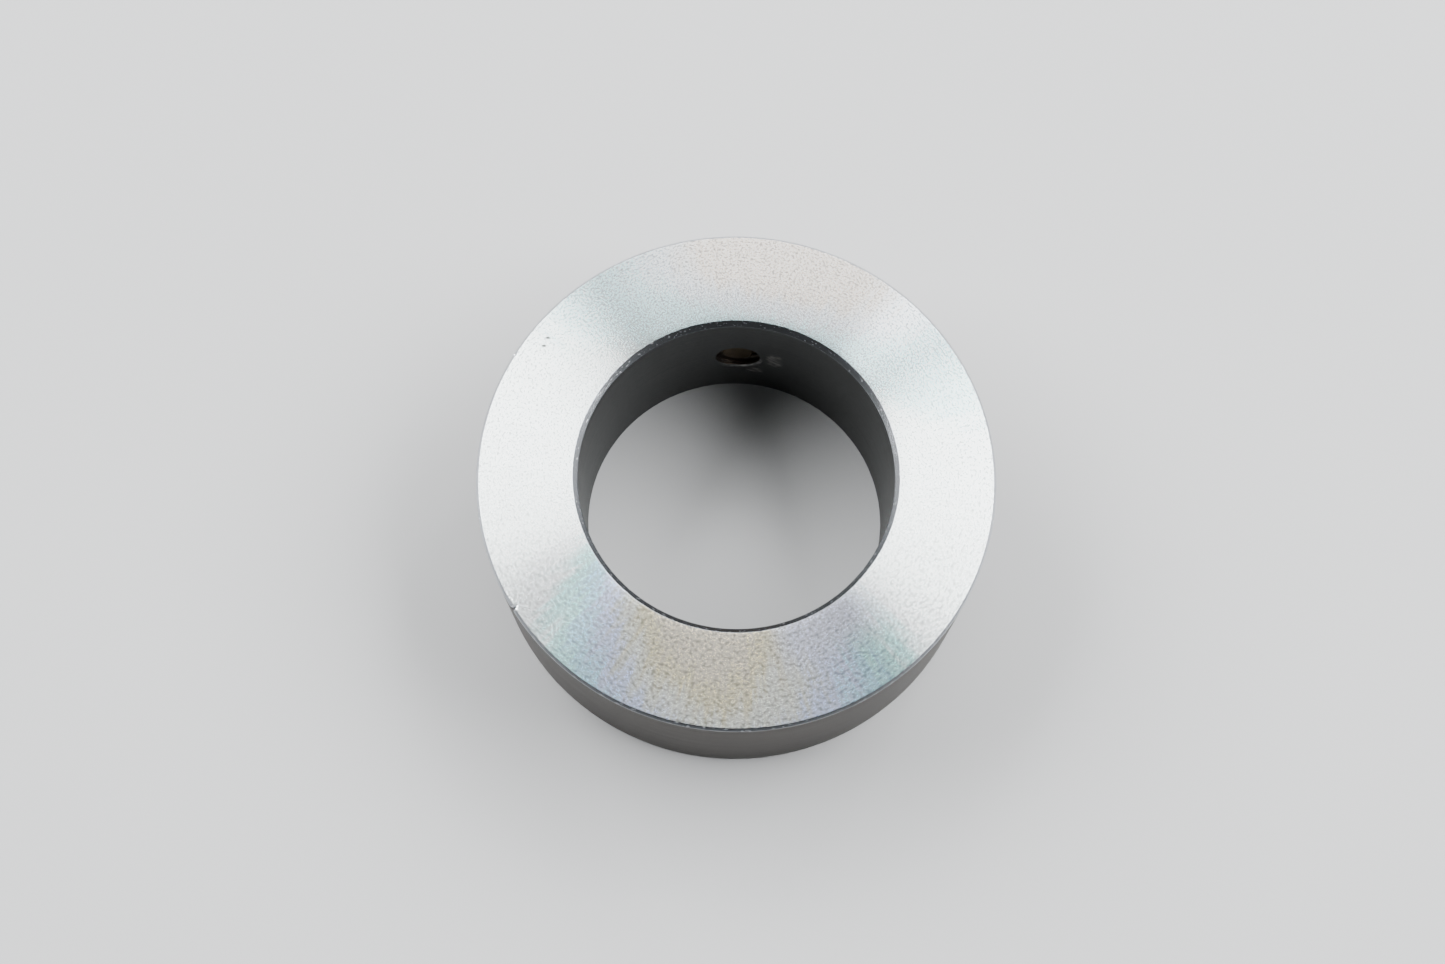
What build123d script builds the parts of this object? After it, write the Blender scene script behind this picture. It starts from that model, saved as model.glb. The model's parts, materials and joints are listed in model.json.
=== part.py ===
"""Set-screw shaft collar: a turned steel ring, a socket set screw and a brass thrust pad.

Units are millimetres.  The origin is the centre of the ring's lower face and +Z runs up the bore.
The screw's hole goes through the ring's wall along +Y at mid height, so the screw's tip faces -Y.
"""

import os
from math import radians, tan

from build123d import *

# Ring
BORE_DIAMETER = 22.0
OUTER_DIAMETER = 36.0
WIDTH = 12.0
BORE_CHAMFER = 0.35
RIM_CHAMFER = 0.2

# M4 x 0.7 thread, right-handed, with running room between the screw and its hole
PITCH = 0.7
FLANK_ANGLE = 60.0
HOLE_CREST_DIAMETER = 3.3
HOLE_ROOT_DIAMETER = 4.06
HOLE_ROOT_FLAT = 0.09
HOLE_MOUTH_DIAMETER = 4.8
SCREW_CREST_DIAMETER = 3.76
SCREW_ROOT_DIAMETER = 3.0
SCREW_CREST_FLAT = 0.11
THREAD_SINK = 0.05

# Set screw with a hexagon socket
SCREW_LENGTH = 5.0
SCREW_END_CHAMFER = 0.45
SOCKET_ACROSS_FLATS = 2.0
SOCKET_DEPTH = 2.0
SOCKET_MOUTH_DIAMETER = 2.5
DRILL_POINT_ANGLE = 118.0

# Thrust pad, whose stem turns in a hole in the screw's tip
PAD_SETBACK = 0.3
PAD_DIAMETER = 3.1
PAD_THICKNESS = 0.9
PAD_CHAMFER = 0.45
STEM_DIAMETER = 1.2
STEM_LENGTH = 1.2
STEM_CHAMFER = 0.15
STEM_CLEARANCE = 0.04
END_GAP = 0.03

# Worked out from the sizes above: radii, and distances out along +Y from the bore's centre
BORE_RADIUS = BORE_DIAMETER / 2
OUTER_RADIUS = OUTER_DIAMETER / 2
PAD_FACE = BORE_RADIUS + PAD_SETBACK
PAD_BACK = PAD_FACE + PAD_THICKNESS
STEM_END = PAD_BACK + STEM_LENGTH
SCREW_TIP = PAD_BACK + END_GAP
SCREW_END = SCREW_TIP + SCREW_LENGTH

# Both threads follow one helix, from inside the bore to outside the ring, so that they are in step
HELIX_START = BORE_RADIUS - 2 * PITCH
HELIX_TURNS = 14


def across_hole(distance):
    """The plane across the screw's axis at this distance from the bore's centre, facing out."""
    return Plane(origin=(0, distance, WIDTH / 2), x_dir=(1, 0, 0), z_dir=(0, 1, 0))


def threaded_rod(root_diameter, crest_diameter, crest_flat):
    """A long rod on the screw's axis with a helical ridge, whose sides lean at the flank angle."""
    root_radius = root_diameter / 2
    ridge_height = (crest_diameter - root_diameter) / 2 + THREAD_SINK
    ridge_foot = crest_flat + 2 * ridge_height * tan(radians(FLANK_ANGLE / 2))
    with BuildLine() as helix:
        Helix(
            pitch=PITCH,
            height=HELIX_TURNS * PITCH,
            radius=root_radius - THREAD_SINK,
            center=(0, HELIX_START, WIDTH / 2),
            direction=(0, 1, 0),
        )
    # Across the ridge, local x points away from the screw's axis
    ridge_plane = Plane(origin=helix.line @ 0, x_dir=(0, 0, 1), z_dir=(1, 0, 0))
    with BuildPart() as rod:
        with BuildSketch(ridge_plane):
            with BuildLine():
                Polyline(
                    (0, -ridge_foot / 2),
                    (0, ridge_foot / 2),
                    (ridge_height, crest_flat / 2),
                    (ridge_height, -crest_flat / 2),
                    close=True,
                )
            make_face()
        sweep(path=helix.line, is_frenet=True)
        with BuildSketch(across_hole(HELIX_START - PITCH)):
            Circle(root_radius)
        extrude(amount=(HELIX_TURNS + 2) * PITCH)
    return rod.part


def finish(piece, name):
    """Label a piece and write it as its own STEP file."""
    piece.part.label = name
    export_step(piece.part, f"parts/{name}.step")
    box = piece.part.bounding_box().size
    print(f"{name}: {piece.part.volume:.2f} mm3, {box.X:.2f} x {box.Y:.2f} x {box.Z:.2f} mm")


os.makedirs("parts", exist_ok=True)

# Ring: turned, with its four edges broken, then tapped right through one side
with BuildPart() as collar_ring:
    with BuildSketch():
        Circle(OUTER_RADIUS)
        Circle(BORE_RADIUS, mode=Mode.SUBTRACT)
    extrude(amount=WIDTH)
    round_edges = collar_ring.edges().filter_by(GeomType.CIRCLE).sort_by(SortBy.RADIUS)
    chamfer(round_edges[:2], BORE_CHAMFER)
    chamfer(round_edges[2:], RIM_CHAMFER)
    add(threaded_rod(HOLE_CREST_DIAMETER, HOLE_ROOT_DIAMETER, HOLE_ROOT_FLAT), mode=Mode.SUBTRACT)
    # Countersink at the hole's outer mouth, its cone reaching its full width at the ring's outside
    with BuildSketch(across_hole(OUTER_RADIUS)):
        Circle(HOLE_MOUTH_DIAMETER / 2)
    extrude(amount=-(HOLE_MOUTH_DIAMETER - HOLE_CREST_DIAMETER) / 2, taper=45, mode=Mode.SUBTRACT)
finish(collar_ring, "collar_ring")

# Screw blank: the length and the chamfered ends that the threaded rod is trimmed to
with BuildPart() as screw_blank:
    with BuildSketch(across_hole(SCREW_TIP)):
        Circle(SCREW_CREST_DIAMETER / 2 + THREAD_SINK)
    extrude(amount=SCREW_LENGTH)
    chamfer(screw_blank.edges().filter_by(GeomType.CIRCLE), SCREW_END_CHAMFER)

# Set screw: threaded all along, with the socket in its outer end and the pad's hole in its tip
with BuildPart() as set_screw:
    add(threaded_rod(SCREW_ROOT_DIAMETER, SCREW_CREST_DIAMETER, SCREW_CREST_FLAT))
    add(screw_blank.part, mode=Mode.INTERSECT)
    with BuildSketch(across_hole(SCREW_END)):
        RegularPolygon(SOCKET_ACROSS_FLATS / 2, side_count=6, major_radius=False)
    extrude(amount=-SOCKET_DEPTH, mode=Mode.SUBTRACT)
    with BuildSketch(across_hole(SCREW_END)):
        Circle(SOCKET_MOUTH_DIAMETER / 2)
    extrude(amount=-(SOCKET_MOUTH_DIAMETER - SOCKET_ACROSS_FLATS) / 2, taper=45, mode=Mode.SUBTRACT)
    # The drill's point, left below the socket's floor
    drill_radius = SOCKET_ACROSS_FLATS / 2
    drill_point = drill_radius / tan(radians(DRILL_POINT_ANGLE / 2))
    socket_floor = (0, SCREW_END - SOCKET_DEPTH, WIDTH / 2)
    with BuildSketch(Plane(origin=socket_floor, x_dir=(1, 0, 0), z_dir=(0, 0, 1))):
        with BuildLine():
            Polyline((0, 0), (drill_radius, 0), (0, -drill_point), close=True)
        make_face()
    revolve(axis=Axis((0, 0, WIDTH / 2), (0, 1, 0)), mode=Mode.SUBTRACT)
    with BuildSketch(across_hole(SCREW_TIP)):
        Circle(STEM_DIAMETER / 2 + STEM_CLEARANCE)
    extrude(amount=STEM_LENGTH, mode=Mode.SUBTRACT)
finish(set_screw, "set_screw")

# Thrust pad: a brass disc with a stem, its front edge broken
with BuildPart() as thrust_pad:
    with BuildSketch(across_hole(PAD_FACE)):
        Circle(PAD_DIAMETER / 2)
    extrude(amount=PAD_THICKNESS)
    chamfer(thrust_pad.edges().group_by(Axis.Y)[0], PAD_CHAMFER)
    with BuildSketch(across_hole(PAD_BACK)):
        Circle(STEM_DIAMETER / 2)
    extrude(amount=STEM_LENGTH)
    chamfer(thrust_pad.edges().group_by(Axis.Y)[-1], STEM_CHAMFER)
finish(thrust_pad, "thrust_pad")
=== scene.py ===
import json
import math
from collections import namedtuple

import bmesh
import bpy
import numpy as np
from mathutils import Matrix, Vector, noise


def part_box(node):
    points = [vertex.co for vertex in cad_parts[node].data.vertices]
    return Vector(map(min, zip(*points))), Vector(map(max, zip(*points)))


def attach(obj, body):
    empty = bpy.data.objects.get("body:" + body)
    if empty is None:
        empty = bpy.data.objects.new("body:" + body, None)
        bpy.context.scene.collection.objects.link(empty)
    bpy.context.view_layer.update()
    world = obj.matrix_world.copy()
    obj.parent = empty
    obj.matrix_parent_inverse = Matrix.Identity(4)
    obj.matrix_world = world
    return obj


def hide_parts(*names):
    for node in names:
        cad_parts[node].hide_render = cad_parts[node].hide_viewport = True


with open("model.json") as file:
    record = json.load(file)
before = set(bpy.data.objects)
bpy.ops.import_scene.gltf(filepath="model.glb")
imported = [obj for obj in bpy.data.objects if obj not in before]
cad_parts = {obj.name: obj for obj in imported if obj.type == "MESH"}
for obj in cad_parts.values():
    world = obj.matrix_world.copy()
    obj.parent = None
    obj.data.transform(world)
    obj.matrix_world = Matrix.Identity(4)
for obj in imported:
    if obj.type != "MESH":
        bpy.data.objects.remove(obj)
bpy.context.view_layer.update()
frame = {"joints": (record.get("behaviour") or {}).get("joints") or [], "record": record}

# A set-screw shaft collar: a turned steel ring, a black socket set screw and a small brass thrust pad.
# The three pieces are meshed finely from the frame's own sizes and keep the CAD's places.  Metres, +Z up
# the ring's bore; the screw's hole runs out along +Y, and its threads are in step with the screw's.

MM = 0.001
TURN = 2 * math.pi

# ---------------------------------------------------------------------------------------------
# Sizes.  The frame gives the pieces' boxes, the bore, the hole's axis and the pitch; the rest
# repeats the CAD's own sizes.
# ---------------------------------------------------------------------------------------------
record = frame["record"]
mounts = {mount["name"]: mount for mount in record["mounts"]}
joints = {joint["name"]: joint for joint in frame["joints"]}
coupling = record["behaviour"]["couplings"][0]

ring_low, ring_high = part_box("collar_ring")
OUTER = -ring_low.y
WIDTH = ring_high.z
BORE = mounts["bore"]["dims"]["r_mm"] * MM
BORE_CHAMFER = (WIDTH - mounts["bore"]["dims"]["length_mm"] * MM) / 2
RIM_CHAMFER = 0.2 * MM

# The tapped hole: the radii of its thread and of its countersink's mouth
HOLE_Z = joints["screw_turn"]["pos_m"][2]
PITCH = TURN / coupling["ratio"]
HELIX_START = BORE - 2 * PITCH
HOLE_CREST = 1.65 * MM
HOLE_ROOT = 2.03 * MM
HOLE_ROOT_FLAT = 0.09 * MM
HOLE_MOUTH = 2.4 * MM
THREAD_RUN_IN = 0.2 * MM
ROWS_PER_PITCH = 14

screw_low, screw_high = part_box("set_screw")
SCREW_TIP = screw_low.y
SCREW_END = screw_high.y
SCREW_CREST = (screw_high.x - screw_low.x) / 2
SCREW_ROOT = 1.5 * MM
SCREW_CREST_FLAT = 0.11 * MM
SCREW_CHAMFER = 0.4 * MM
SOCKET_HALF_FLATS = 1.0 * MM
SOCKET_DEPTH = 2.0 * MM
SOCKET_MOUTH = 1.25 * MM
DRILL_POINT = math.radians(31)

pad_low, pad_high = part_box("thrust_pad")
PAD_FACE = pad_low.y
STEM_END = pad_high.y
PAD_RADIUS = (pad_high.x - pad_low.x) / 2
PAD_THICKNESS = 0.9 * MM
PAD_CHAMFER = 0.45 * MM
STEM_RADIUS = 0.6 * MM
STEM_CHAMFER = 0.15 * MM
STEM_HOLE = 0.64 * MM

# Edges that turn by more than this many degrees are shaded sharp
SHARP_EDGE = 28


# ---------------------------------------------------------------------------------------------
# Mesh helpers
# ---------------------------------------------------------------------------------------------
def new_object(name, vertices, faces):
    """A mesh object from points and faces, linked to the scene."""
    mesh = bpy.data.meshes.new(name)
    mesh.from_pydata([tuple(v) for v in vertices], [], [tuple(f) for f in faces])
    mesh.validate()
    obj = bpy.data.objects.new(name, mesh)
    bpy.context.scene.collection.objects.link(obj)
    return obj


def grid_faces(rows, columns, wrap_rows=False):
    """Quads between rows of points that each close on themselves."""
    faces = []
    for i in range(rows if wrap_rows else rows - 1):
        this_row = i * columns
        next_row = (i + 1) % rows * columns
        for j in range(columns):
            k = (j + 1) % columns
            faces.append((this_row + j, this_row + k, next_row + k, next_row + j))
    return faces


def spindle(name, rows, columns):
    """A closed solid about the screw's axis.  Each row is a distance along +Y and a radius, which
    may be a function of the angles, measured from +Z towards +X."""
    angles = np.arange(columns) * TURN / columns
    vertices = []
    for y, radius in rows:
        radii = radius(angles) if callable(radius) else np.full(columns, radius)
        vertices += [(r * math.sin(a), y, HOLE_Z + r * math.cos(a)) for r, a in zip(radii, angles)]
    faces = grid_faces(len(rows), columns)
    faces.append(tuple(range(columns))[::-1])
    faces.append(tuple(range(len(vertices) - columns, len(vertices))))
    obj = new_object(name, vertices, faces)
    face_outwards(obj)
    return obj


def face_outwards(obj):
    """Make every face of a closed mesh look outwards."""
    bm = bmesh.new()
    bm.from_mesh(obj.data)
    bmesh.ops.recalc_face_normals(bm, faces=bm.faces)
    bm.to_mesh(obj.data)
    bm.free()


def cut(obj, cutter):
    """Take the cutter's solid out of obj."""
    modifier = obj.modifiers.new("cut", "BOOLEAN")
    modifier.operation = "DIFFERENCE"
    modifier.solver = "EXACT"
    modifier.object = cutter
    bpy.context.view_layer.update()
    result = bpy.data.meshes.new_from_object(obj.evaluated_get(bpy.context.evaluated_depsgraph_get()))
    obj.modifiers.remove(modifier)
    obj.data = result
    bpy.data.objects.remove(cutter)


def smooth_but_sharp(obj):
    """Shade smooth, except across sharp edges."""
    bm = bmesh.new()
    bm.from_mesh(obj.data)
    for face in bm.faces:
        face.smooth = True
    for edge in bm.edges:
        edge.smooth = edge.calc_face_angle(math.pi) < math.radians(SHARP_EDGE)
    bm.to_mesh(obj.data)
    bm.free()


def thread(inner, outer, outer_flat):
    """The radius of a 60 degree thread at a distance along +Y and an angle, on the CAD's own helix.
    outer_flat is the width of the flat at the outer radius."""
    def radius(y, angle):
        turns = (y - HELIX_START) / PITCH - angle / TURN
        off_flat = np.abs((turns + 0.5) % 1 - 0.5) * PITCH - outer_flat / 2
        return np.clip(outer - off_flat / math.tan(math.radians(30)), inner, outer)
    return radius


# ---------------------------------------------------------------------------------------------
# Ring
# ---------------------------------------------------------------------------------------------
EDGE_ROUND = 0.012 * MM
RIM_BAND = 0.7 * MM

# Where the hole and the outer edge's marks are, in degrees round the ring, and how far those marks
# reach down and inwards
HOLE_ANGLE = 90.0
BURR_ANGLE = -148.4
NICK_ANGLE = 151.8
EDGE_MARKS_DOWN = 0.5 * MM
EDGE_MARKS_INWARDS = 0.8 * MM

# Marks on the bore wall, in mm from the hole's centre, to the right and up.  The lip is highest
# on the rim's lower side, at this many degrees from the right.
SCUFF_PLACE = (2.76, 0.0)
SMEAR_PLACE = (1.29, -2.48)
LEFT_SMEAR_PLACE = (-1.5, -2.1)
HOLE_MARKS_REACH = 4.5
LIP_RADIUS, LIP_REACH = 1.86, 0.26
LIP_DIRECTION = -72

# Heights and depths of the marks, in mm, and how much the raised ones vary along themselves
RIDGE_HEIGHT, RIDGE_WAVE = 0.03, 0.02
TIP_HEIGHT = 0.007
NOTCH_DEPTH = 0.12
NOTCH_INWARDS = 0.17
NICK_DEPTH = 0.12
LIP_HEIGHT, LIP_WAVE = 0.07, 0.05
ROUGH_HEIGHT = 0.035

# The ring's finishes, in the order of its material slots
FACE_ZONE, OUTER_ZONE, BORE_ZONE, EDGE_ZONE, TAP_ZONE = range(5)

# A surface faces a direction when the cosine of the angle between them is above this
FACING = 0.97


def rounded_profile(corners, spacings):
    """A closed outline with each corner rounded.  The side after each corner is divided at its own
    spacing."""
    points = []
    count = len(corners)
    for i in range(count):
        before, here, after = (Vector(corners[(i + k) % count]) for k in (-1, 0, 1))
        to_before = (before - here).normalized()
        to_after = (after - here).normalized()
        start = here + to_before * EDGE_ROUND
        end = here + to_after * EDGE_ROUND
        for t in (0, 1 / 3, 2 / 3, 1):
            points.append(start.lerp(here, t).lerp(here.lerp(end, t), t))
        side_end = after - to_after * EDGE_ROUND
        steps = max(1, round((side_end - end).length / spacings[i]))
        points += [end.lerp(side_end, k / steps) for k in range(1, steps)]
    return points


def ring_angles():
    """Angles round the ring: one degree apart, and finer at the hole, the nick and the burr."""
    angles = set(np.round(np.arange(-180, 180, 1.0), 3))
    for centre, reach, step in ((HOLE_ANGLE, 19, 0.25), (NICK_ANGLE, 2.5, 0.2), (BURR_ANGLE, 5, 0.2)):
        angles |= set(np.round(np.arange(centre - reach, centre + reach, step), 3))
    return np.radians(sorted(angles))


def ring_profile():
    """The ring's section: the lower face outwards, up the outer wall, and back down the bore.  Each
    corner comes with the spacing, in mm, of the points on the side after it."""
    corners, spacings = zip(
        ((BORE + BORE_CHAMFER, 0), 0.8),
        ((OUTER - RIM_CHAMFER, 0), 0.1),
        ((OUTER, RIM_CHAMFER), 1.0),
        ((OUTER, WIDTH - RIM_CHAMFER), 0.07),
        ((OUTER - RIM_CHAMFER, WIDTH), 0.06),
        ((OUTER - RIM_BAND, WIDTH), 0.6),
        ((BORE + BORE_CHAMFER, WIDTH), 0.1),
        ((BORE, WIDTH - BORE_CHAMFER), 0.14),
        ((BORE, BORE_CHAMFER), 0.1),
    )
    return rounded_profile(corners, [spacing * MM for spacing in spacings])


def tap_rows():
    """The rows of the tapped hole's cutter: a thread that begins just behind the bore wall, and a
    countersink at the outside."""
    hole_thread = thread(HOLE_CREST, HOLE_ROOT, HOLE_ROOT_FLAT)

    def row(y):
        cone = HOLE_MOUTH - (OUTER - y)
        share = min(max((y - BORE) / THREAD_RUN_IN, 0), 1)

        def radius(angles):
            return np.maximum(HOLE_CREST + share * (hole_thread(y, angles) - HOLE_CREST), cone)
        return radius

    start = BORE - 0.7 * MM
    end = OUTER + 0.4 * MM
    return [(y, row(y)) for y in np.arange(start, end, PITCH / ROWS_PER_PITCH)]


def make_ring():
    """The turned ring, its edges broken, with a tapped hole and small marks of handling."""
    profile = ring_profile()
    angles = ring_angles()
    vertices = [(p[0] * math.cos(a), p[0] * math.sin(a), p[1]) for p in profile for a in angles]
    ring = new_object("ring", vertices, grid_faces(len(profile), len(angles), wrap_rows=True))
    face_outwards(ring)
    cut(ring, spindle("tap", tap_rows(), 72))
    zone_ring(ring)
    mark_ring(ring)
    smooth_but_sharp(ring)
    return ring


def hill(distance, reach):
    """1 at distance 0, easing down to 0 at reach."""
    t = max(0.0, 1 - abs(distance) / reach)
    return t * t * (3 - 2 * t)


def mound(u, v, place, reach):
    """A hill over a surface, with its own place and reach in each direction."""
    return hill(u - place[0], reach[0]) * hill(v - place[1], reach[1])


def pull_in(vertex, distance):
    """Move a vertex towards the ring's axis."""
    x, y = vertex.co.xy
    radius = math.hypot(x, y)
    vertex.co.x -= distance * x / radius
    vertex.co.y -= distance * y / radius


def mark_outer_edge(vertex, wave):
    """A burr on the upper outer edge, which is a low ridge, a notch and a raised tip, and a nick."""
    x, y = vertex.co.xy
    angle = math.degrees(math.atan2(y, x))
    depth = (OUTER - math.hypot(x, y)) / MM
    along = math.radians(angle - BURR_ANGLE) * OUTER / MM
    along_nick = math.radians(angle - NICK_ANGLE) * OUTER / MM
    ridge = mound(along, depth, (-0.1, 0.26), (0.75, 0.10))
    notch = mound(along, depth, (0.62, 0.1), (0.20, 0.40))
    tip = hill(math.hypot(along - 0.98, depth - 0.28), 0.16)
    nick = hill(math.hypot(along_nick, 0.6 * (depth - 0.12)), 0.13)
    raised = ridge * (RIDGE_HEIGHT + RIDGE_WAVE * wave) + tip * TIP_HEIGHT
    vertex.co.z += (raised - notch * NOTCH_DEPTH - nick * NICK_DEPTH) * MM
    pull_in(vertex, notch * NOTCH_INWARDS * MM)


def mark_hole_rim(vertex, wave):
    """A lip thrown up round the lower rim of the screw hole, and the rough patches beside it."""
    x, y, z = vertex.co
    right = BORE * (math.pi / 2 - math.atan2(y, x)) / MM
    up = (z - HOLE_Z) / MM
    distance = math.hypot(right, up)
    if distance > HOLE_MARKS_REACH:
        return
    direction = math.degrees(math.atan2(up, right))
    lower_rim = min(1, hill(direction - LIP_DIRECTION, 85) * 1.8)
    lip = hill(distance - LIP_RADIUS, LIP_REACH) * lower_rim * (LIP_HEIGHT + LIP_WAVE * wave)
    scuff = mound(right, up, SCUFF_PLACE, (0.95, 1.6))
    smear = mound(right, up, SMEAR_PLACE, (0.85, 0.75))
    left_smear = mound(right, up, LEFT_SMEAR_PLACE, (0.9, 0.6))
    streaks = noise.noise(Vector((right * 3, up * 9, 0)))
    rough = (scuff + smear + 0.5 * left_smear) * ROUGH_HEIGHT * streaks
    pull_in(vertex, (lip + rough) * MM)


def mark_ring(ring):
    """Marks of making and handling, on the upper outer edge and round the screw hole."""
    bm = bmesh.new()
    bm.from_mesh(ring.data)
    for vertex in bm.verts:
        x, y, z = vertex.co
        radius = math.hypot(x, y)
        wave = noise.noise(Vector((x, y, z)) / (0.25 * MM))
        on_bore_wall = radius < BORE + EDGE_ROUND and BORE_CHAMFER < z < WIDTH - BORE_CHAMFER
        if z > WIDTH - EDGE_MARKS_DOWN and radius > OUTER - EDGE_MARKS_INWARDS:
            mark_outer_edge(vertex, wave)
        elif on_bore_wall and y > 0:
            mark_hole_rim(vertex, wave)
    bm.to_mesh(ring.data)
    bm.free()


def zone_ring(ring):
    """Give each of the ring's surfaces its own finish: faces, outer wall, bore, edges, tapped hole."""
    for polygon in ring.data.polygons:
        centre, normal = polygon.center, polygon.normal
        radius = math.hypot(centre.x, centre.y)
        outwards = (normal.x * centre.x + normal.y * centre.y) / radius
        in_hole = centre.y > 0 and math.hypot(centre.x, centre.z - HOLE_Z) < HOLE_MOUTH + 0.01 * MM
        if abs(normal.z) > FACING and min(centre.z, WIDTH - centre.z) < 0.01 * MM:
            polygon.material_index = FACE_ZONE
        elif outwards > FACING and radius > OUTER - 0.02 * MM:
            polygon.material_index = OUTER_ZONE
        elif outwards < -FACING and radius < BORE + 0.02 * MM:
            polygon.material_index = BORE_ZONE
        elif in_hole:
            polygon.material_index = TAP_ZONE
        else:
            polygon.material_index = EDGE_ZONE


# ---------------------------------------------------------------------------------------------
# Set screw and thrust pad
# ---------------------------------------------------------------------------------------------
def hexagon(angles):
    """The radius of the socket's hexagon at each angle."""
    return SOCKET_HALF_FLATS / np.cos((angles % (TURN / 6)) - TURN / 12)


def screw_rows():
    """The rows of the screw's body: its thread, bevelled at both ends."""
    screw_thread = thread(SCREW_ROOT, SCREW_CREST, SCREW_CREST_FLAT)

    def row(y):
        bevel = SCREW_CREST - SCREW_CHAMFER + min(y - SCREW_TIP, SCREW_END - y)
        return lambda angles: np.minimum(screw_thread(y, angles), bevel)

    return [(y, row(y)) for y in np.linspace(SCREW_TIP, SCREW_END, 120)]


def socket_rows():
    """The rows of the socket's cutter: a drill point, the hexagon and a bevelled mouth."""
    def row(y):
        cone = SOCKET_MOUTH - (SCREW_END - y)
        return lambda angles: np.maximum(hexagon(angles), cone)

    floor = SCREW_END - SOCKET_DEPTH
    rows = [
        (floor - SOCKET_HALF_FLATS * math.tan(DRILL_POINT), 0.02 * MM),
        (floor, SOCKET_HALF_FLATS * 0.995),
        (floor + 0.004 * MM, hexagon),
    ]
    rows += [(y, row(y)) for y in np.linspace(SCREW_END - 0.4 * MM, SCREW_END + 0.1 * MM, 16)]
    return rows


def make_screw():
    """The set screw: threaded, with bevelled ends, a hexagon socket and the pad's hole in its tip."""
    screw = spindle("screw", screw_rows(), 96)
    cut(screw, spindle("socket", socket_rows(), 96))
    stem_hole = [(SCREW_TIP - 0.1 * MM, STEM_HOLE), (STEM_END + 0.03 * MM, STEM_HOLE)]
    cut(screw, spindle("stem_hole", stem_hole, 48))
    smooth_but_sharp(screw)
    return screw


def make_pad():
    """The brass pad: a turned disc with a bevelled front edge and a stem behind."""
    back = PAD_FACE + PAD_THICKNESS
    rows = [(PAD_FACE, r * MM) for r in np.linspace(0.05, 1.08, 14)]
    for t in (0.04, 0.35, 0.7, 0.96):
        rows.append((PAD_FACE + t * PAD_CHAMFER, PAD_RADIUS - (1 - t) * PAD_CHAMFER))
    rows += [
        (PAD_FACE + PAD_CHAMFER * 1.1, PAD_RADIUS),
        (back - 0.04 * MM, PAD_RADIUS),
        (back, PAD_RADIUS - 0.04 * MM),
        (back, STEM_RADIUS + 0.02 * MM),
        (back + 0.02 * MM, STEM_RADIUS),
        (STEM_END - STEM_CHAMFER, STEM_RADIUS),
        (STEM_END, STEM_RADIUS - STEM_CHAMFER),
    ]
    pad = spindle("pad", rows, 96)
    smooth_but_sharp(pad)
    return pad


# ---------------------------------------------------------------------------------------------
# Node helpers
# ---------------------------------------------------------------------------------------------
Place = namedtuple("Place", "x y z radius angle")


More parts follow.
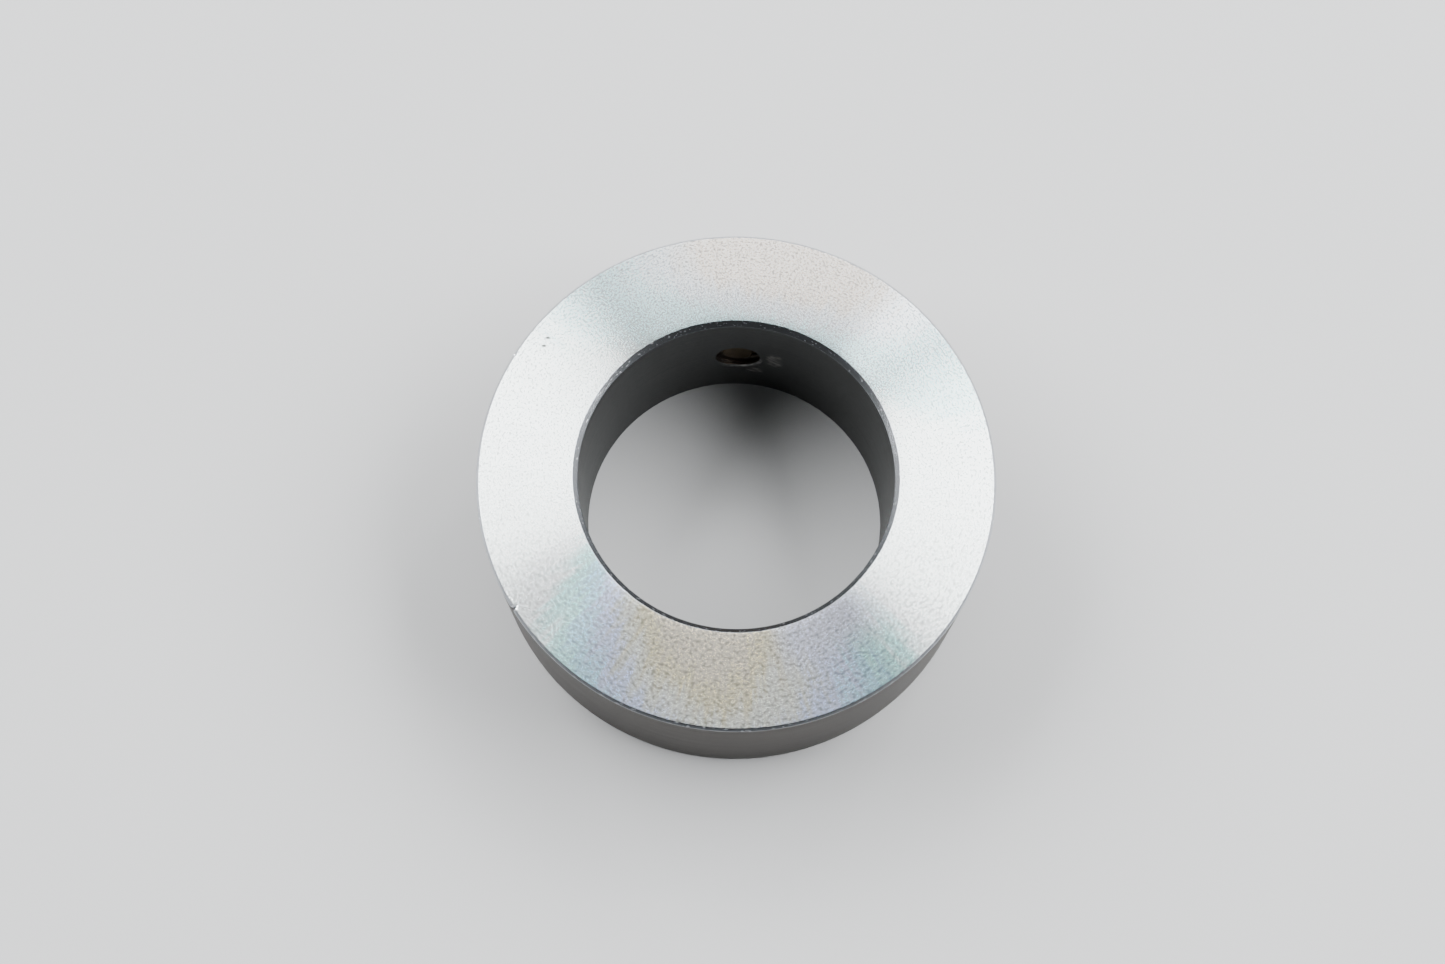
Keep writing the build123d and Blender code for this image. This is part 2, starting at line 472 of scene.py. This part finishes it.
class Nodes:
    """A short way to write a node tree.  Values may be numbers, colours or other nodes' sockets."""

    def __init__(self, tree):
        self.tree = tree

    def node(self, kind, inputs=(), **settings):
        node = self.tree.nodes.new(kind)
        for key, value in settings.items():
            setattr(node, key, value)
        for key, value in dict(inputs).items():
            self.plug(node.inputs[key], value)
        return node

    def plug(self, socket, value):
        if isinstance(value, bpy.types.NodeSocket):
            self.tree.links.new(value, socket)
        else:
            socket.default_value = value

    def math(self, operation, *values):
        node = self.node("ShaderNodeMath", operation=operation)
        for socket, value in zip(node.inputs, values):
            self.plug(socket, value)
        return node.outputs[0]

    def total(self, a, b):
        return self.math("ADD", a, b)

    def less(self, a, b):
        return self.math("SUBTRACT", a, b)

    def product(self, a, b):
        return self.math("MULTIPLY", a, b)

    def over(self, a, b):
        return self.math("DIVIDE", a, b)

    def larger(self, a, b):
        return self.math("MAXIMUM", a, b)

    def squares(self, a, b):
        return self.total(self.product(a, a), self.product(b, b))

    def length(self, a, b):
        return self.math("SQRT", self.squares(a, b))

    def smooth(self, value, low, high, start=0.0, end=1.0):
        """start below low, end above high, easing between."""
        inputs = {0: value, 1: low, 2: high, 3: start, 4: end}
        return self.node("ShaderNodeMapRange", inputs, interpolation_type="SMOOTHSTEP").outputs[0]

    def scale(self, value, low, high):
        """A 0 to 1 value spread from low to high."""
        return self.node("ShaderNodeMapRange", {0: value, 3: low, 4: high}).outputs[0]

    def blend(self, factor, a, b):
        """The number a where factor is 0, b where it is 1."""
        return self.node("ShaderNodeMix", {0: factor, 2: a, 3: b}).outputs[0]

    def mix(self, factor, a, b, blend_type="MIX"):
        """The colour a where factor is 0, b where it is 1."""
        node = self.node("ShaderNodeMix", {"Factor": factor}, data_type="RGBA", blend_type=blend_type)
        self.plug(node.inputs[6], a)
        self.plug(node.inputs[7], b)
        return node.outputs[2]

    def times(self, a, b):
        """Two colours multiplied."""
        return self.mix(1.0, a, b, "MULTIPLY")

    def ramp(self, value, stops):
        """A colour by value, easing from stop to stop."""
        node = self.node("ShaderNodeValToRGB", {0: value})
        node.color_ramp.interpolation = "EASE"
        while len(node.color_ramp.elements) < len(stops):
            node.color_ramp.elements.new(1.0)
        for element, (position, colour) in zip(node.color_ramp.elements, stops):
            element.position = position
            element.color = colour
        return node.outputs[0]

    def vector(self, x, y, z=0.0):
        return self.node("ShaderNodeCombineXYZ", {0: x, 1: y, 2: z}).outputs[0]

    def noise(self, vector, scale=1.0, detail=2.0, roughness=0.5):
        inputs = {"Vector": vector, "Scale": scale, "Detail": detail, "Roughness": roughness}
        return self.node("ShaderNodeTexNoise", inputs).outputs[0]

    def cloud(self, size, detail, roughness):
        """Noise through the object, its blotches about this large."""
        return self.noise(self.coordinates("Object"), 1 / size, detail, roughness)

    def grain(self, along, across, length, width, detail=2.0, roughness=0.6):
        """Noise over a surface, its blotches drawn out to this length and width."""
        stretched = self.vector(self.over(along, length), self.over(across, width))
        return self.noise(stretched, 1.0, detail, roughness)

    def coordinates(self, kind):
        return self.node("ShaderNodeTexCoord").outputs[kind]

    def place(self):
        """Object coordinates: x, y, z, and the radius and angle about the bore."""
        x, y, z = self.node("ShaderNodeSeparateXYZ", {0: self.coordinates("Object")}).outputs
        return Place(x, y, z, self.length(x, y), self.math("ARCTAN2", y, x))


class Paint(Nodes):
    """A new material and its nodes."""

    def __init__(self, name):
        self.material = bpy.data.materials.new(name)
        self.material.use_nodes = True
        super().__init__(self.material.node_tree)
        self.shader = self.tree.nodes["Principled BSDF"]

    def shine(self, **values):
        for key, value in values.items():
            self.plug(self.shader.inputs[key.replace("_", " ")], value)

    def bump(self, height, distance):
        inputs = {"Height": height, "Distance": distance, "Strength": 1.0}
        return self.node("ShaderNodeBump", inputs).outputs[0]


# ---------------------------------------------------------------------------------------------
# Materials
# ---------------------------------------------------------------------------------------------
FACE_DARK = (0.22, 0.238, 0.237, 1)
FACE_BRIGHT = (0.92, 0.99, 0.985, 1)
# The colour of the two small pits' painted shade
PIT_SHADE = (0.08, 0.08, 0.08, 1)
FACE_ROUGHNESS = 0.30
# Painted shade: the outer wall, the tapped hole and the bore get steel far darker than the faces'; the
# tapped hole's is warm brown
OUTER_SHADE_TONE = (0.115, 0.105, 0.098)
TAP_SHADE_TONE = (0.16, 0.14, 0.12)
BORE_SHADE_TONE = (0.125, 0.128, 0.128)
# The colour of the scratches, and of the painted highlight on the hole's lip
SCRATCH_AND_GLINT = (0.62, 0.60, 0.57, 1)
WALL_GRAIN = (0.40 * MM, 0.08 * MM)
WALL_EDGE_TINT = (0.5, 0.5, 0.5, 1)
BEVEL_EDGE_TINT = (0.7, 0.7, 0.7, 1)

# The rainbow's tints, by degrees from its middle line: a painted sheen, the rainbow that light
# diffracted by the fine turning marks gives, put into the faces' colour.  In front it runs from straw
# through violet and blue to green; at the rear it is paler, from rose to blue, and its middle stops are
# also made darker as painted shade.
TINT_SPAN = 90
FRONT_RAINBOW_SHEEN = (
    (20, (0.86, 0.75, 0.62, 1)),
    (25, (0.84, 0.74, 0.54, 1)),
    (31, (0.84, 0.81, 0.76, 1)),
    (38, (0.70, 0.73, 0.96, 1)),
    (45, (0.56, 0.80, 0.95, 1)),
    (50, (0.58, 0.90, 0.89, 1)),
    (59, (0.95, 0.93, 0.95, 1)),
    (68, (1.0, 1.0, 1.0, 1)),
)
REAR_SHEEN_AND_SHADE = (
    (22, (1.0, 0.87, 0.81, 1)),
    (33, (0.91, 0.90, 0.95, 1)),
    (45, (0.74, 0.91, 0.95, 1)),
    (57, (0.79, 0.95, 0.98, 1)),
    (70, (1.0, 1.0, 1.0, 1)),
)
# The violet of the painted sheen near the bore, and the angle it centres on
VIOLET_SHEEN = (0.80, 0.78, 0.92, 1)
VIOLET_SHEEN_ANGLE = math.radians(-60)


def shade(colour, factor):
    return tuple(min(1, factor * c) for c in colour) + (1,)


def tool_marks(paint, along, across, length, width, feed):
    """Grain torn along the cut, and the rings that the tool's feed leaves, each 0 to 1."""
    grain = paint.grain(along, across, length, width, 3.0, 0.65)
    rings = paint.grain(along, across, 9 * MM, feed)
    return grain, rings


def rainbow(paint, at, ragged, centre, lean, inner_reach, reach_slope, tints):
    """A painted sheen: a tint that goes by the degrees from one leaning radial line of a face, shifted
    by radius.
    """
    leaning = paint.math("MULTIPLY_ADD", at.radius, -math.radians(lean) / OUTER, at.angle)
    off_centre = paint.math("WRAP", paint.less(leaning, math.radians(centre)), math.pi, -math.pi)
    along = paint.product(off_centre, math.degrees(1) / TINT_SPAN)
    across = paint.math(
        "MULTIPLY_ADD", at.radius, reach_slope / OUTER / TINT_SPAN, inner_reach / TINT_SPAN
    )
    stops = [(degrees / TINT_SPAN, colour) for degrees, colour in tints]
    return paint.ramp(paint.total(paint.length(along, across), ragged), stops)


def pit(paint, at, reach, degrees):
    """1 inside a small long pit of the face, at a share of the outer radius and an angle."""
    angle = math.radians(degrees)
    across = paint.over(paint.less(at.x, reach * OUTER * math.cos(angle)), 0.17 * MM)
    along = paint.over(paint.less(at.y, reach * OUTER * math.sin(angle)), 0.10 * MM)
    return paint.smooth(paint.squares(across, along), 1.3, 0.5)


def face_rainbow_sheen(paint, at, ragged):
    """The painted rainbow sheen in front and at the rear, and a violet patch of the same sheen near the
    bore at the front right.
    """
    front = rainbow(paint, at, ragged, -116, 25, -18.5, 50, FRONT_RAINBOW_SHEEN)
    off_violet = paint.math("ABSOLUTE", paint.less(at.angle, VIOLET_SHEEN_ANGLE))
    violet = paint.product(
        paint.smooth(at.radius, 0.88 * OUTER, 0.70 * OUTER),
        paint.smooth(off_violet, math.radians(22), math.radians(8)),
    )
    front = paint.mix(violet, front, VIOLET_SHEEN)
    rear = rainbow(paint, at, ragged, 78, 0, 130, -140, REAR_SHEEN_AND_SHADE)
    return front, rear


def face_steel():
    """The ring's end faces: bright facing marks that spread the light out, with a faint rainbow painted
    into the colour as a sheen, fine radial rays of painted glint, and painted shade at the rear near the
    bore.
    The marks are torn and contrast most at the front."""
    paint = Paint("face_steel")
    at = paint.place()
    along = paint.product(at.angle, (OUTER + BORE) / 2)
    grain, rings = tool_marks(paint, along, at.radius, 0.29 * MM, 0.22 * MM, 0.12 * MM)
    fine = paint.grain(along, at.radius, 0.17 * MM, 0.15 * MM)
    torn = paint.smooth(at.y, 0.2 * OUTER, -0.6 * OUTER)
    mottle = paint.smooth(
        paint.blend(torn, fine, grain), paint.scale(torn, 0.29, 0.335), paint.scale(torn, 0.56, 0.60)
    )
    # Fine radial rays of painted glint, put into the face's tone and the rainbow's ragged edge
    glint_rays = paint.grain(at.angle, at.radius, 1 / 26, 6 * MM)
    ragged = paint.total(paint.scale(mottle, -0.012, 0.012), paint.scale(glint_rays, -0.10, 0.10))
    front, rear = face_rainbow_sheen(paint, at, ragged)
    tone = paint.total(paint.product(mottle, 0.8), paint.product(glint_rays, 0.2))
    # Painted shade: the face is made darker at the rear, towards the bore
    near_bore = paint.smooth(at.radius, 0.86 * OUTER, 0.62 * OUTER)
    rear_inner_painted_shade = paint.product(near_bore, paint.smooth(at.y, 0.1 * OUTER, 0.55 * OUTER))
    tone = paint.product(tone, paint.scale(rear_inner_painted_shade, 1.0, 0.65))
    # Painted shade: two small pits, painted dark instead of cut into the mesh
    pit_shade = paint.larger(pit(paint, at, 0.925, 144.2), pit(paint, at, 0.917, 146.4))
    steel = paint.mix(pit_shade, paint.mix(tone, FACE_DARK, FACE_BRIGHT), PIT_SHADE)
    paint.shine(
        Base_Color=paint.times(paint.times(steel, front), rear),
        Metallic=1.0,
        Roughness=paint.scale(mottle, FACE_ROUGHNESS + 0.03, FACE_ROUGHNESS - 0.03),
        Anisotropic=1.0,
        Anisotropic_Rotation=0.25,
        Tangent=paint.node("ShaderNodeTangent", direction_type="RADIAL", axis="Z").outputs[0],
        Normal=paint.bump(paint.total(paint.product(grain, 0.12), rings), 0.0016 * MM),
    )
    return paint.material


def wall_steel(name, base, roughness, feed):
    """A turned wall, painted much darker than the faces as shade, with fine rings round it, long streaks
    and a grain.
    """
    paint = Paint(name)
    at = paint.place()
    along = paint.product(at.angle, at.radius)
    grain, rings = tool_marks(paint, along, at.z, *WALL_GRAIN, feed)
    streaks = paint.grain(along, at.z, 60 * MM, 0.30 * MM, 2.0, 0.5)
    tone = paint.product(paint.total(grain, streaks), 0.5)
    paint.shine(
        Base_Color=paint.mix(tone, shade(base, 0.45), shade(base, 1.55)),
        Metallic=1.0,
        Roughness=paint.scale(rings, roughness - 0.08, roughness + 0.08),
        Specular_Tint=WALL_EDGE_TINT,
        Normal=paint.bump(paint.total(grain, rings), 0.006 * MM),
    )
    return paint.material


def edge_steel():
    """The bevelled edges: cut clean and bright, with torn specks that glint."""
    paint = Paint("edge_steel")
    at = paint.place()
    specks = paint.smooth(
        paint.grain(paint.product(at.angle, BORE), at.z, 0.30 * MM, 0.10 * MM), 0.60, 0.72
    )
    cloud = paint.cloud(1.2 * MM, 3.0, 0.6)
    paint.shine(
        Base_Color=paint.mix(cloud, (0.40, 0.42, 0.45, 1), (0.62, 0.65, 0.69, 1)),
        Metallic=1.0,
        Roughness=paint.scale(specks, 0.20, 0.34),
        Specular_Tint=BEVEL_EDGE_TINT,
        Normal=paint.bump(paint.total(specks, cloud), 0.002 * MM),
    )
    return paint.material


def patch(paint, right, up, centre, size):
    """1 inside an oval with a ragged edge, beside the screw hole, and 0 outside; all in mm."""
    across = paint.over(paint.less(right, centre[0]), size[0])
    along = paint.over(paint.less(up, centre[1]), size[1])
    ragged = paint.scale(paint.noise(paint.vector(right, up), 3.0, 3.0, 0.6), -0.45, 0.45)
    return paint.smooth(paint.total(paint.length(across, along), ragged), 1.05, 0.55)


def hole_scratches_and_glint(paint, at):
    """Bright scratches in the two patches beside the screw hole, and a painted highlight, broken by
    scratches, on the lip of its lower rim towards the right.
    """
    right = paint.product(paint.less(math.pi / 2, at.angle), BORE / MM)
    up = paint.over(paint.less(at.z, HOLE_Z), MM)
    in_rear = paint.math("GREATER_THAN", at.y, 0.0)
    scuff = patch(paint, right, up, SCUFF_PLACE, (0.72, 1.35))
    smear = patch(paint, right, up, SMEAR_PLACE, (0.70, 0.55))
    slanting = paint.total(paint.product(up, 2.6), paint.product(right, 0.9))
    scratches = paint.smooth(
        paint.noise(paint.vector(paint.product(right, 0.7), slanting), 1.0, 3.0, 0.65), 0.44, 0.62
    )
    # Painted highlight: the lip's lower right is painted bright, broken by the scratches
    lower_right = paint.smooth(paint.less(paint.product(right, 0.35), up), 0.4, 1.3)
    lip = paint.product(paint.smooth(paint.length(right, up), 1.98, 1.84), lower_right)
    worn = paint.larger(
        paint.product(paint.larger(scuff, smear), paint.scale(scratches, 0.06, 0.50)),
        paint.product(lip, paint.scale(scratches, 0.08, 0.36)),
    )
    return paint.product(worn, in_rear)


def bore_steel():
    """The bored wall: painted dark as shade, finely ringed, with bright scratches beside the screw hole
    and a painted highlight on its lower rim's lip.
    """
    paint = Paint("bore_steel")
    at = paint.place()
    along = paint.product(at.angle, at.radius)
    grain, rings = tool_marks(paint, along, at.z, *WALL_GRAIN, 0.09 * MM)
    worn = hole_scratches_and_glint(paint, at)
    wall = paint.mix(grain, shade(BORE_SHADE_TONE, 0.6), shade(BORE_SHADE_TONE, 1.4))
    paint.shine(
        Base_Color=paint.mix(worn, wall, SCRATCH_AND_GLINT),
        Metallic=1.0,
        Roughness=paint.scale(paint.larger(worn, rings), 0.34, 0.58),
        Specular_Tint=WALL_EDGE_TINT,
        Normal=paint.bump(paint.total(paint.total(grain, rings), paint.product(worn, 2.0)), 0.006 * MM),
    )
    return paint.material


def black_oxide():
    """The screw's blackened steel, a little brown, thinner and brighter in small worn spots."""
    paint = Paint("black_oxide")
    grain = paint.cloud(0.07 * MM, 2.0, 0.6)
    wear = paint.smooth(paint.cloud(0.35 * MM, 4.0, 0.65), 0.60, 0.72)
    film = paint.mix(paint.cloud(0.9 * MM, 3.0, 0.6), (0.030, 0.028, 0.027, 1), (0.075, 0.066, 0.058, 1))
    paint.shine(
        Base_Color=paint.mix(wear, film, (0.22, 0.20, 0.18, 1)),
        Metallic=1.0,
        Roughness=paint.scale(grain, 0.30, 0.52),
        Normal=paint.bump(grain, 0.004 * MM),
    )
    return paint.material


def shaded_brass():
    """The pad's brass: turned in rings about its own axis, and painted a dark brown in blotches, as
    shade of the hole it sits in.
    """
    paint = Paint("shaded_brass")
    at = paint.place()
    from_axis = paint.length(at.x, paint.less(at.z, HOLE_Z))
    rings = paint.noise(paint.vector(paint.over(from_axis, 0.05 * MM), 0.0), 1.0, 1.0, 0.5)
    brass_blotches = paint.cloud(0.6 * MM, 4.0, 0.6)
    paint.shine(
        # Painted shade: the pad's brass is made a dark brown, darker in blotches
        Base_Color=paint.mix(brass_blotches, (0.042, 0.030, 0.017, 1), (0.21, 0.148, 0.08, 1)),
        Metallic=1.0,
        Roughness=paint.scale(brass_blotches, 0.42, 0.24),
        Normal=paint.bump(paint.total(rings, brass_blotches), 0.005 * MM),
    )
    return paint.material


# ---------------------------------------------------------------------------------------------
# The pieces, on their bodies
# ---------------------------------------------------------------------------------------------
ring = make_ring()
ring.data.materials.append(face_steel())
ring.data.materials.append(wall_steel("outer_wall_steel", OUTER_SHADE_TONE, 0.32, 0.11 * MM))
ring.data.materials.append(bore_steel())
ring.data.materials.append(edge_steel())
ring.data.materials.append(wall_steel("tap_steel", TAP_SHADE_TONE, 0.40, 0.05 * MM))
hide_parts("collar_ring")
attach(ring, "collar")

screw = make_screw()
screw.data.materials.append(black_oxide())
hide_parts("set_screw")
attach(screw, "screw")

pad = make_pad()
pad.data.materials.append(shaded_brass())
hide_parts("thrust_pad")
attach(pad, "pad")

# ---------------------------------------------------------------------------------------------
# Floor and room.  The room is dim overhead and pale at the horizon, where bevels and walls
# reflect it, and its horizon is dimmer in front.
# ---------------------------------------------------------------------------------------------
HORIZON_LIGHT = 0.7
OVERHEAD_LIGHT = 0.10
FRONT_SHARE = 0.35
FRONT_FADE = (-0.9, 0.1)
HEIGHT_FADE = (0.06, 0.24)
ROOM_TINT = (0.97, 0.985, 1, 1)
FLOOR_TONE = (0.24, 0.244, 0.248, 1)
FLOOR_HALF = 3
FLOOR_FADE = (0.45, 1.2)


def pale_floor():
    """A matt pale floor which, far from the object, turns black and glows instead: painted light that
    matches the room's horizon, dimmer in front.
    """
    paint = Paint("pale_floor")
    at = paint.place()
    far = paint.smooth(at.radius, *FLOOR_FADE)
    rearwards = paint.smooth(paint.over(at.y, at.radius), *FRONT_FADE)
    horizon = paint.scale(rearwards, HORIZON_LIGHT * FRONT_SHARE, HORIZON_LIGHT)
    paint.shine(
        Base_Color=paint.mix(far, FLOOR_TONE, (0, 0, 0, 1)),
        Roughness=0.9,
        # Painted light: far from the object the floor glows like the room's horizon
        Emission_Color=ROOM_TINT,
        Emission_Strength=paint.product(far, horizon),
    )
    return paint.material


floor_corners = [(FLOOR_HALF * i, FLOOR_HALF * j, 0) for i, j in ((-1, -1), (1, -1), (1, 1), (-1, 1))]
floor = new_object("floor", floor_corners, [(0, 1, 2, 3)])
floor.data.materials.append(pale_floor())

world = bpy.data.worlds.new("studio")
world.use_nodes = True
room = Nodes(world.node_tree)
background = world.node_tree.nodes["Background"]
direction = room.node("ShaderNodeSeparateXYZ", {0: room.coordinates("Generated")})
by_height = room.smooth(direction.outputs["Z"], *HEIGHT_FADE, HORIZON_LIGHT, OVERHEAD_LIGHT)
by_side = room.smooth(direction.outputs["Y"], *FRONT_FADE, FRONT_SHARE, 1.0)
room.plug(background.inputs["Strength"], room.product(by_height, by_side))
room.plug(background.inputs["Color"], ROOM_TINT)
bpy.context.scene.world = world


# ---------------------------------------------------------------------------------------------
# Lights and camera
# ---------------------------------------------------------------------------------------------
def area_light(name, place, size, power):
    """A rectangular soft light that looks at the origin."""
    data = bpy.data.lights.new(name, "AREA")
    data.shape = "RECTANGLE"
    data.size, data.size_y = size
    data.energy = power
    light = bpy.data.objects.new(name, data)
    light.location = place
    light.rotation_euler = (-Vector(place)).to_track_quat("-Z", "Y").to_euler()
    bpy.context.scene.collection.objects.link(light)


area_light("left_softbox", (-0.45, 0.23, 0.42), (0.66, 0.40), 20.5)
area_light("right_softbox", (0.45, 0.11, 0.42), (0.62, 0.40), 20.5)
area_light("rear_softbox", (0.05, 0.50, 0.42), (0.55, 0.30), 6.8)
area_light("corner_softbox", (0.28, 0.455, 0.42), (0.10, 0.30), 1.8)

# The camera stands in front and well above, tipped a degree, with a normal lens
CAMERA_ELEVATION = math.radians(72.33)
CAMERA_ROLL = math.radians(1.107)
CAMERA_DISTANCE = 7.379 * OUTER
CAMERA_AIM = Vector((-0.0526, 0.1561, 0.0497)) * OUTER
CAMERA_LENS = 43.73

camera_data = bpy.data.cameras.new("camera")
camera_data.sensor_width = 36
camera_data.lens = CAMERA_LENS
camera_data.clip_start = 0.005
camera = bpy.data.objects.new("camera", camera_data)
bpy.context.scene.collection.objects.link(camera)
level_right = Vector((1, 0, 0))
level_up = Vector((0, math.sin(CAMERA_ELEVATION), math.cos(CAMERA_ELEVATION)))
towards_camera = Vector((0, -math.cos(CAMERA_ELEVATION), math.sin(CAMERA_ELEVATION)))
tipped_right = math.cos(CAMERA_ROLL) * level_right + math.sin(CAMERA_ROLL) * level_up
tipped_up = math.cos(CAMERA_ROLL) * level_up - math.sin(CAMERA_ROLL) * level_right
orientation = Matrix((tipped_right, tipped_up, towards_camera)).transposed()
camera_place = CAMERA_AIM + towards_camera * CAMERA_DISTANCE
camera.matrix_world = Matrix.Translation(camera_place) @ orientation.to_4x4()
bpy.context.scene.camera = camera
